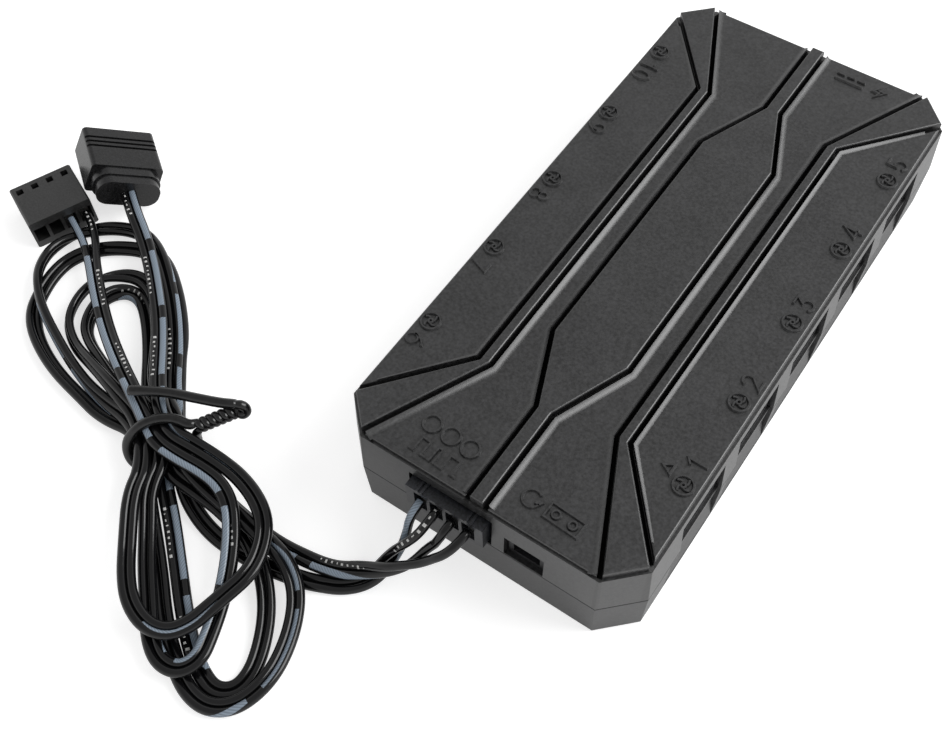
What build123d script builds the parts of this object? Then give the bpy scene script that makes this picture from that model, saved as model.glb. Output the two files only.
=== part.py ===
"""Fan and lighting hub: a flat two-piece case with ten side ports, its circuit board, and a tied cable with two plugs.

Millimetres. Origin at the middle of the case's base, +Y along the case towards the power port, +Z up.
"""
import os
from math import atan2, cos, degrees, radians, sin, sqrt, tan

from build123d import *

# Case
case_length = 96.5
case_width = 46.5
corner_cut = 4.9
parting_height = 8.7
deck_height = 16.6
wall = 1.6
roof = 1.2
floor = 1.6
side_draft = 0.4
seam_chamfer = 0.15
base_round = 0.6

# Panels moulded on the deck: spine, inner panels, ribs and side panels, with grooves between them
groove = 0.7
spine_half = 6.05
strip_half = 1.35
spine_bend = 20.5
strip_bend = 31.9
rib_inner = 9.75
rib_outer = 11.8
rib_bend = 29.9
spine_rise = 1.4
rib_rise = 1.4
inner_panel_rise = 0.6
side_panel_rise = 1.1
panel_round = 0.28

# Side ports
ports_per_side = 5
port_end_inset = 18.45
port_width = 10.9
port_head = 0.5
sill_recess = 0.5
sill_drop = 0.7
scoop_depth = 1.1
scoop_overhang = 2.1
scoop_foot = 0.9

# Fan headers
fit_gap = 0.25
header_wall = 0.75
header_back = 1.0
header_depth = 7.8
header_setback = 0.9
pin_side = 0.5
pin_reach = 2.5
pin_foot = 0.9
fan_pin_count = 6
fan_pin_pitch = 1.3

# Front end: cable port and reset port
cable_port_x = -3.9
cable_port_width = 13.0
cable_port_head = 0.4
plug_width = 12.1
plug_skin = 0.7
plug_length = 8.6
plug_stand_out = 1.6
wire_pitch = 2.5
wire_count = 4
wire_bay_width = 2.0
wire_bay_depth = 3.2
plug_rib_width = 0.35
plug_rib_rise = 0.3
plug_rib_spots = (3.5, 4.2)
reset_port_x = 7.5
reset_port_width = 6.0
reset_port_head = 2.3
reset_key = 0.4
reset_key_spots = (-0.5, 1.8)
reset_pin_count = 2
reset_pin_pitch = 2.0

# Far end: power port
power_port_x = 4.6
power_port_width = 22.2
tongue_width = 19.0
tongue_thickness = 1.3
tongue_key = 1.6
contact_count = 15
contact_pitch = 1.2
contact_width = 0.7
contact_thickness = 0.12

# Circuit board and what it carries
board_thickness = 1.6
board_gap = 0.4
chip_size = (4.0, 10.0, 1.5)
chip_place = (-4.0, 6.0)
driver_size = (5.0, 6.2, 1.5)
driver_places = ((5.0, 10.0), (5.0, -2.0))
capacitor_diameter = 5.0
capacitor_head = 1.3
capacitor_chamfer = 0.4
capacitor_places = ((-6.0, 22.0), (0.5, 22.0))
resistor_size = (1.6, 0.8, 0.5)
resistor_row_count = 6
resistor_pitch = 2.2
resistor_place = (-7.5, -16.0)

# Screws and their posts
post_side_inset = 4.65
post_end_inset = 9.65
post_diameter = 4.6
screw_diameter = 2.0
screw_clearance = 0.15
screw_head_diameter = 3.8
screw_head_height = 1.3
screw_sink = 0.5
screw_bite = 5.0
screw_slot = 0.6

# Fan plug at the end of the first cable
fan_plug_width = 10.4
fan_plug_length = 8.7
fan_plug_height = 5.6
fan_plug_place = (-91.9, -36.25)
fan_plug_turn = 66.7
fan_plug_pitch = 2.54
fan_plug_bay_count = 4
fan_bay_width = 2.0
fan_bay_height = 2.8
fan_bay_floor = 1.3
fan_window = 1.1
fan_window_edge = 0.8
fan_pin_hole = 0.9
fan_nose = 2.6
fan_wire_count = 2

# Lighting plug at the end of the second cable
light_plug_width = 12.0
light_plug_top = 11.6
light_plug_height = 5.9
light_plug_length = 8.6
light_plug_end = (-81.4, -28.9)
light_plug_turn = 54.8
light_plug_roll = 28.4
collar_length = 1.65
collar_step = 0.7
collar_drop = 0.45
light_groove = 0.45
light_groove_spots = (1.9, 2.9, 3.9)
light_pin_count = 3
light_pin_pitch = 2.54
light_pin_hole = 1.0
light_pin_depth = 5.0

# Cables: two flat twin cables, folded into one tied hank
cord_diameter = 2.0
lead_route_1 = [
    (-6.4, -49.45, 11.9), (-6.4, -51.8, 11.9), (-7.6, -54.6, 9.0), (-10.9, -57.4, 5.0),
    (-16.0, -59.9, 2.2), (-20.5, -61.1, 1.4), (-24.6, -61.9, 1.4), (-28.7, -61.6, 1.4),
]
lead_route_2 = [
    (-1.4, -49.45, 11.9), (-1.4, -51.8, 11.9), (-2.4, -54.6, 8.8), (-5.5, -57.2, 4.9),
    (-9.5, -59.7, 2.3), (-13.8, -61.9, 1.4), (-18.3, -63.7, 1.4), (-22.5, -64.7, 1.4), (-26.7, -65.4, 1.4),
]
fan_tail_route = [
    (-86.9, -35.637, 2.9), (-83.2, -37.23, 2.9), (-78.2, -41.3, 3.2), (-72.2, -46.0, 3.6),
    (-66.4, -50.0, 4.0), (-60.6, -53.3, 4.6), (-55.2, -56.0, 5.2), (-50.4, -58.0, 5.4),
]
light_tail_route = [
    (-81.4, -28.9, 5.2), (-78.4, -31.016, 5.2), (-74.0, -33.6, 4.4), (-69.6, -36.7, 3.9),
    (-65.0, -40.5, 3.8), (-61.0, -44.1, 4.0), (-57.0, -48.4, 4.5), (-52.4, -53.4, 5.2), (-48.4, -56.3, 5.5),
]
waist = (-46.7, -59.6)
waist_turn = 51.0
waist_radius = 4.5
waist_core_half = 4.1
waist_base = 1.75
waist_top = 6.7
upper_lobe = (-76.0, -42.3, 11.5, 1.7)
upper_hole = (-67.5, -46.7, 5.2)
upper_hole_tip = (-57.0, -54.0, 1.0)
left_lobe = (-33.0, -70.5, 10.8, 6.5)
left_hole = (-33.0, -69.9, 6.3)
left_hole_tip = (-41.0, -64.2, 1.0)
right_lobe = (-20.6, -75.4, 9.6, 4.4)
right_hole = (-20.4, -74.8, 5.0)
right_hole_tip = (-25.0, -70.6, 3.0)

# Twist tie round the waist of the hank
tie_diameter = 1.5
tie_clearance = 0.15
tie_bend = 2.4
tie_twist_diameter = 2.4
tie_twist_length = 6.4
tie_hook = 1.4
tie_free_end = (-53.6, -57.0)
tie_free_height = 8.4

top_rise = deck_height - parting_height
board_top = parting_height
board_base = board_top - board_thickness
ceiling = deck_height - roof
headroom = ceiling - parting_height
port_height = headroom - port_head
cable_port_height = headroom - cable_port_head
reset_port_height = headroom - reset_port_head
port_pitch = (case_length - 2 * port_end_inset) / (ports_per_side - 1)
port_places = [port_pitch * (n - (ports_per_side - 1) / 2) for n in range(ports_per_side)]
post_x = case_width / 2 - post_side_inset
post_y = case_length / 2 - post_end_inset
post_places = [(sx * post_x, sy * post_y) for sx in (-1, 1) for sy in (-1, 1)]


def cut_corner_outline(length, width, cut):
    """Rectangle with four equal cut corners, centred."""
    x, y = width / 2, length / 2
    return Polygon(
        (x, cut - y), (x, y - cut), (x - cut, y), (cut - x, y),
        (-x, y - cut), (-x, cut - y), (cut - x, -y), (x - cut, -y), align=None,
    )


def case_outline(inset):
    """Case outline at the parting line, moved in by the same distance on every side."""
    cut = corner_cut - inset * (2 - sqrt(2))
    return cut_corner_outline(case_length - 2 * inset, case_width - 2 * inset, cut)


def drafted_block(low, low_inset, high, high_inset):
    """Block between two levels whose walls lean by the difference of the insets."""
    lean = degrees(atan2(high_inset - low_inset, high - low))
    return extrude(Pos(0, 0, low) * case_outline(low_inset), amount=high - low, taper=lean)


def span_box(x0, x1, y0, y1, z0, z1):
    """Box between two corners."""
    return Pos((x0 + x1) / 2, (y0 + y1) / 2, (z0 + z1) / 2) * Box(abs(x1 - x0), abs(y1 - y0), abs(z1 - z0))


def post(x, y, low, high, diameter):
    """Upright cylinder between two levels."""
    return Pos(x, y, (low + high) / 2) * Cylinder(diameter / 2, high - low)


def group(shapes, place=Pos(0, 0, 0)):
    """Separate solids that share one node, each moved to its place."""
    return Compound(children=[place * shape for shape in shapes])


def both_sides(shape):
    """The shape, and its copy turned half round the case's axis."""
    return [shape, Rot(0, 0, 180) * shape]


def deck_regions():
    """Plan of the deck on the right of the middle, cut into regions that share their borders, with each one's rise."""
    half_width = case_width / 2 - side_draft
    half_length = case_length / 2 - side_draft
    cut = corner_cut - side_draft * (2 - sqrt(2))
    end_x = half_width - cut
    end_y = half_length - cut
    spine = Polygon(
        (strip_half, -half_length), (strip_half, -strip_bend), (spine_half, -spine_bend),
        (spine_half, spine_bend), (strip_half, strip_bend), (strip_half, half_length),
        (-strip_half, half_length), (-strip_half, strip_bend), (-spine_half, spine_bend),
        (-spine_half, -spine_bend), (-strip_half, -strip_bend), (-strip_half, -half_length), align=None,
    )
    inner_panel = Polygon(
        (strip_half, -half_length), (end_x, -half_length), (rib_inner, -rib_bend), (rib_inner, rib_bend),
        (end_x, half_length), (strip_half, half_length), (strip_half, strip_bend), (spine_half, spine_bend),
        (spine_half, -spine_bend), (strip_half, -strip_bend), align=None,
    )
    rib = Polygon(
        (end_x, -half_length), (half_width, -end_y), (rib_outer, -rib_bend), (rib_outer, rib_bend),
        (half_width, end_y), (end_x, half_length), (rib_inner, rib_bend), (rib_inner, -rib_bend), align=None,
    )
    side_panel = Polygon(
        (half_width, -end_y), (half_width, end_y), (rib_outer, rib_bend), (rib_outer, -rib_bend), align=None,
    )
    paired = [(inner_panel, inner_panel_rise), (rib, rib_rise), (side_panel, side_panel_rise)]
    return [(spine, spine_rise)] + [(half, rise) for region, rise in paired for half in both_sides(region)]


def raised_panel(region, rise):
    """Region of the deck, drawn in by half a groove and raised, with its upper edges rounded."""
    bury = roof / 2
    inside = offset(region, -groove / 2, kind=Kind.INTERSECTION)
    panel = extrude(Pos(0, 0, deck_height - bury) * inside, amount=bury + rise)
    return fillet(panel.faces().sort_by(Axis.Z)[-1].edges(), panel_round)


def end_opening(x, width, height, end):
    """Cut through the near (-1) or far (+1) end wall, from the parting line up."""
    y = end * case_length / 2
    return span_box(x - width / 2, x + width / 2, y - 2 * wall, y + 2 * wall, parting_height, parting_height + height)


def side_openings(low, high, reach, overhang=0):
    """Cuts through one side wall at every port, from outside to a reach behind the wall's face."""
    face = case_width / 2
    half = port_width / 2
    return [span_box(face - reach, face + wall, y - half - overhang, y + half, low, high) for y in port_places]


def top_cover():
    """Upper half of the case: drafted walls, panelled deck, port openings and screw posts."""
    shell = drafted_block(parting_height, 0, deck_height, side_draft)
    shell = chamfer(shell.faces().sort_by(Axis.Z)[0].edges(), seam_chamfer)
    shell -= drafted_block(parting_height, wall, ceiling, wall + side_draft)
    shell += [raised_panel(region, rise) for region, rise in deck_regions()]
    for cut in side_openings(parting_height, parting_height + port_height, 2 * wall):
        shell -= both_sides(cut)
    shell -= end_opening(cable_port_x, cable_port_width, cable_port_height, -1)
    shell -= end_opening(power_port_x, power_port_width, port_height, 1)
    shell -= end_opening(reset_port_x, reset_port_width, reset_port_height, -1)
    key_top = parting_height + reset_port_height
    key_face = side_draft - case_length / 2
    for spot in reset_key_spots:
        x = reset_port_x + spot
        shell += span_box(x, x + reset_key, key_face, key_face + wall / 2, key_top - reset_key, key_top + reset_key)
    for x, y in post_places:
        shell += post(x, y, board_top, ceiling + roof / 2, post_diameter)
        shell -= post(x, y, board_top, board_top + screw_bite + fit_gap, screw_diameter + screw_clearance)
    return shell


def port_scoops():
    """Finger scoops under the ports of one side: deepest under the sill, running out at the base."""
    face = case_width / 2
    top = parting_height - sill_drop
    profile = Polygon(
        (face - side_draft, scoop_foot), (face + wall, scoop_foot), (face + wall, top),
        (face - scoop_depth, top), align=None,
    )
    length = port_width + scoop_overhang
    return [Pos(0, y + port_width / 2, 0) * extrude(Plane.XZ * profile, amount=length) for y in port_places]


def bottom_cover():
    """Lower half of the case: drafted tray with finger scoops and bosses that carry the board."""
    tray = drafted_block(0, side_draft, parting_height, 0)
    tray = fillet(tray.faces().sort_by(Axis.Z)[0].edges(), base_round)
    tray = chamfer(tray.faces().sort_by(Axis.Z)[-1].edges(), seam_chamfer)
    tray -= drafted_block(floor, wall + side_draft, parting_height, wall)
    for scoop in port_scoops():
        tray -= both_sides(scoop)
    for sill in side_openings(parting_height - sill_drop, parting_height, sill_recess):
        tray -= both_sides(sill)
    for x, y in post_places:
        shoulder = screw_sink + screw_head_height
        tray += post(x, y, floor / 2, board_base, post_diameter + 2 * screw_clearance)
        tray -= post(x, y, 0, shoulder, screw_head_diameter + 2 * screw_clearance)
        tray -= post(x, y, shoulder, board_base, screw_diameter + 2 * screw_clearance)
    return tray


def circuit_board():
    """Board on the bosses, with clearance holes for the screws."""
    inset = wall + board_gap
    board = extrude(Pos(0, 0, board_base) * case_outline(inset), amount=board_thickness)
    for x, y in post_places:
        board -= post(x, y, board_base, board_top, screw_diameter + 2 * screw_clearance)
    return board


def socket(width, height, depth):
    """Open-fronted header standing on the board: its mouth is at y = 0 and faces -Y, and its middle is at x = 0."""
    body = span_box(-width / 2, width / 2, 0, depth, board_top, board_top + height)
    inner = width / 2 - header_wall
    top = board_top + height - header_wall
    return body - span_box(-inner, inner, 0, depth - header_back, board_top + header_wall, top)


def bent_pins(count, pitch, height, depth):
    """Row of bent pins of a socket: through its back wall, down behind it, and a foot on the board."""
    level = board_top + (height - pin_side) / 2
    back = depth + fit_gap
    row = []
    for n in range(count):
        x = pitch * (n - (count - 1) / 2)
        x0, x1 = x - pin_side / 2, x + pin_side / 2
        blade = span_box(x0, x1, depth - header_back - pin_reach, back + pin_side, level, level + pin_side)
        leg = span_box(x0, x1, back, back + pin_side, board_top, level + pin_side)
        foot = span_box(x0, x1, back, back + pin_side + pin_foot, board_top, board_top + pin_side)
        row.append(blade + leg + foot)
    return row


def pin_slots(count, pitch, height, depth):
    """Holes that the pins leave in the back wall of a socket."""
    level = board_top + (height - pin_side) / 2
    slots = []
    for n in range(count):
        x = pitch * (n - (count - 1) / 2)
        slots.append(span_box(x - pin_side / 2, x + pin_side / 2, depth - header_back, depth, level, level + pin_side))
    return slots


def fan_header_size():
    """Width and height of a fan header, which fills its port but for the fit gap."""
    return port_width - 2 * fit_gap, port_height - fit_gap


def side_place(number):
    """Location of a side header's mouth: 1 to 5 up the right side, 6 to 10 up the left side."""
    mouth = case_width / 2 - header_setback
    if number <= ports_per_side:
        return Pos(mouth, port_places[number - 1], 0) * Rot(0, 0, 90)
    return Pos(-mouth, port_places[number - 1 - ports_per_side], 0) * Rot(0, 0, -90)


def fan_header(number):
    """Shrouded header of one fan port."""
    width, height = fan_header_size()
    body = socket(width, height, header_depth)
    return side_place(number) * (body - pin_slots(fan_pin_count, fan_pin_pitch, height, header_depth))


def fan_pins(number):
    """Pins of one fan header."""
    height = fan_header_size()[1]
    return group(bent_pins(fan_pin_count, fan_pin_pitch, height, header_depth), side_place(number))


cable_header_height = cable_port_height + fit_gap
cable_header_depth = plug_length - plug_stand_out - wall + header_back
cable_face = -case_length / 2 + wall + side_draft
cable_place = Pos(cable_port_x, cable_face, 0)
plug_face = -case_length / 2 + side_draft - plug_stand_out
plug_level = board_top + header_wall + fit_gap / 2
plug_height = cable_header_height - 2 * header_wall - fit_gap
wire_bay_height = plug_height - 2 * plug_skin


def cable_header():
    """Four-way header behind the cable port, wide enough to take the plug's nose."""
    width = plug_width + 2 * fit_gap + 2 * header_wall
    body = socket(width, cable_header_height, cable_header_depth)
    return cable_place * (body - pin_slots(wire_count, wire_pitch, cable_header_height, cable_header_depth))


def cable_header_pins():
    """Pins of the cable header, which reach into the plug's nose."""
    return group(bent_pins(wire_count, wire_pitch, cable_header_height, cable_header_depth), cable_place)


def bay_places(count, pitch):
    """Even spacing about zero."""
    return [pitch * (n - (count - 1) / 2) for n in range(count)]


def cable_plug():
    """Plug in the cable port: open wire bays at the outer face, pin holes at the nose, ribs on its back."""
    half = plug_width / 2
    nose = plug_face + plug_length
    top = plug_level + plug_height
    body = span_box(-half, half, plug_face, nose, plug_level, top)
    bay_low = plug_level + plug_skin
    pin_level = board_top + cable_header_height / 2
    hole = pin_side / 2 + fit_gap
    for x in bay_places(wire_count, wire_pitch):
        body -= span_box(
            x - wire_bay_width / 2, x + wire_bay_width / 2, plug_face, plug_face + wire_bay_depth,
            bay_low, bay_low + wire_bay_height,
        )
        body -= span_box(x - hole, x + hole, plug_face, nose, pin_level - hole, pin_level + hole)
    rib_end = cable_face - fit_gap
    for spot in plug_rib_spots:
        for side in (-1, 1):
            x = side * spot
            body += span_box(
                x - plug_rib_width / 2, x + plug_rib_width / 2, plug_face, rib_end, top - plug_rib_rise,
                top + plug_rib_rise,
            )
    return Pos(cable_port_x, 0, 0) * body


def cable_plug_terminals():
    """Crimped terminals on the floor of the plug's wire bays."""
    low = plug_level + plug_skin
    half = wire_bay_width / 2 - fit_gap
    blocks = []
    for x in bay_places(wire_count, wire_pitch):
        start = plug_face + wire_bay_depth / 3
        end = plug_face + wire_bay_depth - fit_gap
        blocks.append(span_box(x - half, x + half, start, end, low, low + 2 * half))
    return group(blocks, Pos(cable_port_x, 0, 0))


reset_width = reset_port_width - 2 * fit_gap
reset_height = reset_port_height - reset_key - fit_gap
reset_face = -case_length / 2 + header_setback
reset_place = Pos(reset_port_x, reset_face, 0)


def reset_header():
    """Two-way header behind the reset port."""
    body = socket(reset_width, reset_height, header_depth)
    return reset_place * (body - pin_slots(reset_pin_count, reset_pin_pitch, reset_height, header_depth))


def reset_header_pins():
    """Pins of the reset header."""
    return group(bent_pins(reset_pin_count, reset_pin_pitch, reset_height, header_depth), reset_place)


power_width = power_port_width - 2 * fit_gap
power_height = port_height - fit_gap
power_face = case_length / 2 - header_setback
power_place = Pos(power_port_x, power_face, 0) * Rot(0, 0, 180)
tongue_low = board_top + power_height / 2


def power_header():
    """Power inlet: open shroud with a keyed tongue that carries the contacts."""
    body = socket(power_width, power_height, header_depth)
    half = tongue_width / 2
    tongue_tip = header_setback
    inside = header_depth - header_back / 2
    body += span_box(-half, half, tongue_tip, inside, tongue_low, tongue_low + tongue_thickness)
    body += span_box(
        half - tongue_thickness, half, tongue_tip, inside, tongue_low - tongue_key, tongue_low + tongue_thickness
    )
    return power_place * body


def power_contacts():
    """Contact strips on the underside of the power tongue."""
    strips = []
    length = header_depth - header_back - header_setback
    shift = tongue_thickness / 2
    for x in bay_places(contact_count, contact_pitch):
        x0 = x - shift - contact_width / 2
        strips.append(
            span_box(x0, x0 + contact_width, header_setback, header_setback + length, tongue_low - contact_thickness,
                     tongue_low)
        )
    return group(strips, power_place)


def on_board(size, place):
    """Block standing on the board."""
    x, y = place
    return span_box(
        x - size[0] / 2, x + size[0] / 2, y - size[1] / 2, y + size[1] / 2, board_top, board_top + size[2]
    )


def capacitors():
    """Bulk capacitors, standing on the board and clear of the roof."""
    top = ceiling - capacitor_head
    cans = [post(x, y, board_top, top, capacitor_diameter) for x, y in capacitor_places]
    return group([chamfer(can.faces().sort_by(Axis.Z)[-1].edges(), capacitor_chamfer) for can in cans])


def chip_resistors():
    """Two columns of chip resistors."""
    x, y = resistor_place
    chips = []
    for row in range(resistor_row_count):
        for column in (0, 1):
            chips.append(on_board(resistor_size, (x + column * 2 * resistor_size[0], y - row * resistor_pitch)))
    return group(chips)


def case_screws():
    """Screws from below, through the bosses and the board into the posts of the top cover."""
    screws = []
    shoulder = screw_sink + screw_head_height
    for x, y in post_places:
        screw = post(x, y, screw_sink, shoulder, screw_head_diameter)
        screw += post(x, y, shoulder, board_top + screw_bite, screw_diameter)
        slot_half = screw_head_diameter / 3
        screw -= span_box(
            x - slot_half, x + slot_half, y - screw_slot / 2, y + screw_slot / 2, screw_sink,
            screw_sink + screw_head_height / 2,
        )
        screws.append(screw)
    return group(screws)


fan_plug_at = Pos(*fan_plug_place, 0) * Rot(0, 0, fan_plug_turn)


def fan_plug():
    """Four-way plug: open bays at the wire face, windows over the terminals and pin holes at the nose."""
    x, y = fan_plug_width / 2, fan_plug_length / 2
    body = span_box(-x, x, -y, y, 0, fan_plug_height)
    body = chamfer(body.edges().filter_by(Axis.Y), fit_gap)
    level = fan_bay_floor + fan_bay_height / 2
    for place in bay_places(fan_plug_bay_count, fan_plug_pitch):
        half = fan_bay_width / 2
        body -= span_box(place - half, place + half, -y, y - fan_nose, fan_bay_floor, fan_bay_floor + fan_bay_height)
        hole = fan_pin_hole / 2
        body -= span_box(place - hole, place + hole, 0, y, level - hole, level + hole)
        window = fan_window / 2
        window_far = y - fan_window_edge
        body -= span_box(
            place - window, place + window, window_far - fan_window, window_far, level, fan_plug_height
        )
    return fan_plug_at * body


def fan_plug_terminals():
    """Terminals on the floor of the last bays, which hold the wires."""
    y = fan_plug_length / 2
    half = fan_bay_width / 2 - fit_gap
    blocks = []
    for x in bay_places(fan_plug_bay_count, fan_plug_pitch)[-fan_wire_count:]:
        blocks.append(
            span_box(x - half, x + half, -y / 2, y - fan_nose - fit_gap, fan_bay_floor, fan_bay_floor + 2 * half)
        )
    return group(blocks, fan_plug_at)


light_roll = radians(light_plug_roll)
light_corner = (light_plug_width / 2 - collar_step, light_plug_height / 2 - collar_step)
light_level = light_corner[0] * sin(light_roll) + light_corner[1] * cos(light_roll) + collar_step
light_plug_at = Pos(*light_plug_end, light_level) * Rot(0, 0, light_plug_turn) * Rot(0, light_plug_roll, 0)


def light_plug():
    """Moulded three-way plug: wedge-sided body with grip grooves and two rounded collars at the cable end."""
    collars = 2 * collar_length
    half_base = light_plug_width / 2
    half_top = light_plug_top / 2
    half_height = light_plug_height / 2
    profile = Polygon(
        (-half_base, -half_height), (half_base, -half_height), (half_top, half_height), (-half_top, half_height),
        align=None,
    )
    body = Pos(0, collars + light_plug_length, 0) * extrude(Plane.XZ * profile, amount=light_plug_length)
    body = fillet(body.edges().filter_by(Axis.Y), collar_step)
    for spot in light_groove_spots:
        y = collars + light_plug_length - spot - light_groove
        low = half_height - light_groove
        body -= span_box(-half_base, half_base, y, y + light_groove, low, half_height)
    for step in (1, 2):
        width = light_plug_top - step * collar_step
        height = light_plug_height - step * collar_drop
        section = Plane.XZ * RectangleRounded(width, height, height / 2 - collar_step / 2)
        body += Pos(0, collars, 0) * extrude(section, amount=step * collar_length)
    hole = light_pin_hole / 2
    far = collars + light_plug_length
    for x in bay_places(light_pin_count, light_pin_pitch):
        body -= span_box(x - hole, x + hole, far - light_pin_depth, far, -hole, hole)
    return light_plug_at * body


def light_plug_sockets():
    """Spring sockets at the bottom of the plug's pin holes."""
    hole = light_pin_hole / 2
    far = 2 * collar_length + light_plug_length
    start = far - light_pin_depth
    blocks = []
    for x in bay_places(light_pin_count, light_pin_pitch):
        blocks.append(span_box(x - hole, x + hole, start, start + light_pin_depth / 2, -hole, 0))
    return group(blocks, light_plug_at)


def teardrop(circle, tip):
    """Plan of a loop of cable: the hull of its round end and its narrow end."""
    return make_hull([(Pos(x, y) * Circle(r)).edge() for x, y, r in (circle, tip)])


def lobe(circle, hole, hole_tip):
    """One fold of the hank: a teardrop ring from the waist round the fold, of the height its turns stack to."""
    x, y, radius, height = circle
    ring = teardrop((x, y, radius), (*waist, waist_radius)) - teardrop(hole, hole_tip)
    return extrude(ring, amount=height)


waist_at = Pos(*waist, 0) * Rot(0, 0, waist_turn)


def cord_hank():
    """Outer shape of the folded cables: three fanned lobes and a waist, grooved where the tie goes round."""
    hank = lobe(upper_lobe, upper_hole, upper_hole_tip)
    hank += lobe(left_lobe, left_hole, left_hole_tip)
    hank += lobe(right_lobe, right_hole, right_hole_tip)
    hank += extrude(Pos(*waist) * Circle(waist_radius), amount=waist_top)
    groove_half = tie_twist_diameter / 2 + tie_clearance
    reach = 2 * waist_radius
    channel = span_box(-reach, reach, -groove_half, groove_half, 0, waist_top + waist_radius)
    core = RectangleRounded(2 * waist_core_half, waist_top - waist_base, tie_bend - tie_diameter / 2)
    core_plane = Plane(origin=(0, groove_half, (waist_base + waist_top) / 2), x_dir=(1, 0, 0), z_dir=(0, -1, 0))
    channel -= extrude(core_plane * core, amount=2 * groove_half)
    return hank - waist_at * channel


def cord_tube(name, route):
    """Plain tube along straight runs joined by the largest arcs that they allow."""
    radii = []
    for before, here, after in zip(route, route[1:], route[2:]):
        run_in = Vector(here) - Vector(before)
        run_out = Vector(after) - Vector(here)
        turn = run_in.get_angle(run_out)
        radii.append(0.45 * min(run_in.length, run_out.length) / tan(radians(turn / 2)))
    path = FilletPolyline(*route, radius=radii)
    tube = sweep(Plane(origin=path @ 0, z_dir=path % 0) * Circle(cord_diameter / 2), path=path)
    section = Circle(cord_diameter / 2).area
    print(name, "radii", [round(radius, 1) for radius in radii])
    print(name, "length", round(path.length, 1), "volume ratio", round(tube.volume / (section * path.length), 4))
    return tube


def largest(shape):
    """The biggest solid of a cut shape."""
    return shape.solids().sort_by(SortBy.VOLUME)[-1]


def twist_tie():
    """Wire tie: a ring round the waist, its twisted end, and the free end folded back over the cables."""
    half = waist_core_half + tie_clearance + tie_diameter / 2
    low = waist_base - tie_clearance - tie_diameter / 2
    high = waist_top + tie_clearance + tie_diameter / 2
    middle = (low + high) / 2
    ring_plane = Plane(origin=(0, 0, middle), x_dir=(1, 0, 0), z_dir=(0, -1, 0))
    ring_path = (ring_plane * RectangleRounded(2 * half, high - low, tie_bend)).wire()
    start = Plane(origin=ring_path @ 0, z_dir=ring_path % 0)
    ring = sweep(start * Circle(tie_diameter / 2), path=ring_path)
    twist_level = high - tie_diameter
    twist = Pos(half + tie_twist_length / 2, 0, twist_level) * Rot(0, 90, 0) * Cylinder(
        tie_twist_diameter / 2, tie_twist_length
    )
    tip = half + tie_twist_length
    free = (waist_at.inverse() * Pos(*tie_free_end, tie_free_height)).position
    fold = [
        (tip - tie_hook, 0, twist_level), (tip + tie_hook, 0, twist_level),
        (tip + tie_hook, tie_hook, tie_free_height), (tip - 2 * tie_hook, 2 * tie_hook, tie_free_height),
        (free.X, free.Y, tie_free_height),
    ]
    fold_path = FilletPolyline(*fold, radius=[tie_hook / 2, tie_hook / 2, 2 * tie_hook])
    tail = sweep(Plane(origin=fold_path @ 0, z_dir=fold_path % 0) * Circle(tie_diameter / 2), path=fold_path)
    return waist_at * (ring + twist + tail)


def build():
    """Every node of the part, by name."""
    hank = cord_hank()
    nodes = {
        "top_cover": top_cover(),
        "bottom_cover": bottom_cover(),
        "circuit_board": circuit_board(),
        "power_header": power_header(),
        "power_contacts": power_contacts(),
        "cable_header": cable_header(),
        "cable_header_pins": cable_header_pins(),
        "reset_header": reset_header(),
        "reset_header_pins": reset_header_pins(),
        "controller_chip": on_board(chip_size, chip_place),
        "driver_chips": group([on_board(driver_size, place) for place in driver_places]),
        "capacitors": capacitors(),
        "chip_resistors": chip_resistors(),
        "case_screws": case_screws(),
        "cable_plug": cable_plug(),
        "cable_plug_terminals": cable_plug_terminals(),
        "fan_plug": fan_plug(),
        "fan_plug_terminals": fan_plug_terminals(),
        "light_plug": light_plug(),
        "light_plug_sockets": light_plug_sockets(),
        "cord_hank": hank,
        "lead_cord_1": largest(cord_tube("lead_cord_1", lead_route_1) - hank),
        "lead_cord_2": largest(cord_tube("lead_cord_2", lead_route_2) - hank),
        "fan_tail_cord": largest(cord_tube("fan_tail_cord", fan_tail_route) - hank),
        "light_tail_cord": largest(cord_tube("light_tail_cord", light_tail_route) - hank),
        "twist_tie": twist_tie(),
    }
    for number in range(1, 2 * ports_per_side + 1):
        nodes[f"fan_header_{number}"] = fan_header(number)
        nodes[f"fan_pins_{number}"] = fan_pins(number)
    return nodes


os.makedirs("parts", exist_ok=True)
for name, shape in build().items():
    export_step(shape, f"parts/{name}.step")
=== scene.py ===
"""Fan and light hub with its tied cables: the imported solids, dressed with finishes, lips, signs and real wires."""

import bmesh
import bpy
import numpy as np
from mathutils import Matrix, Vector


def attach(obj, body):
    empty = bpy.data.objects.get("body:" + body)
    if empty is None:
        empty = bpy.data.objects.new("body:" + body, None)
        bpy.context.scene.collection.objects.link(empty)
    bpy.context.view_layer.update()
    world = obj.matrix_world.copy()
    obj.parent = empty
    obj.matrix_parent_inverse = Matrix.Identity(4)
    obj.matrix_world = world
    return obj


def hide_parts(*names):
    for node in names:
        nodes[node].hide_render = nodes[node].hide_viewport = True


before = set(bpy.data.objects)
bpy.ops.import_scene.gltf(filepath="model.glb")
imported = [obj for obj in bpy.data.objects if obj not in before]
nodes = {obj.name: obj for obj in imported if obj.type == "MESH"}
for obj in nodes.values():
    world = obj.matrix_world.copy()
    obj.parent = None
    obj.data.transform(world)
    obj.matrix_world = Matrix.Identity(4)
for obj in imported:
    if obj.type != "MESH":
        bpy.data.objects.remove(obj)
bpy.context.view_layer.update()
scene = bpy.context.scene
scene.view_settings.view_transform = "Standard"
MM = 0.001

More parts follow.
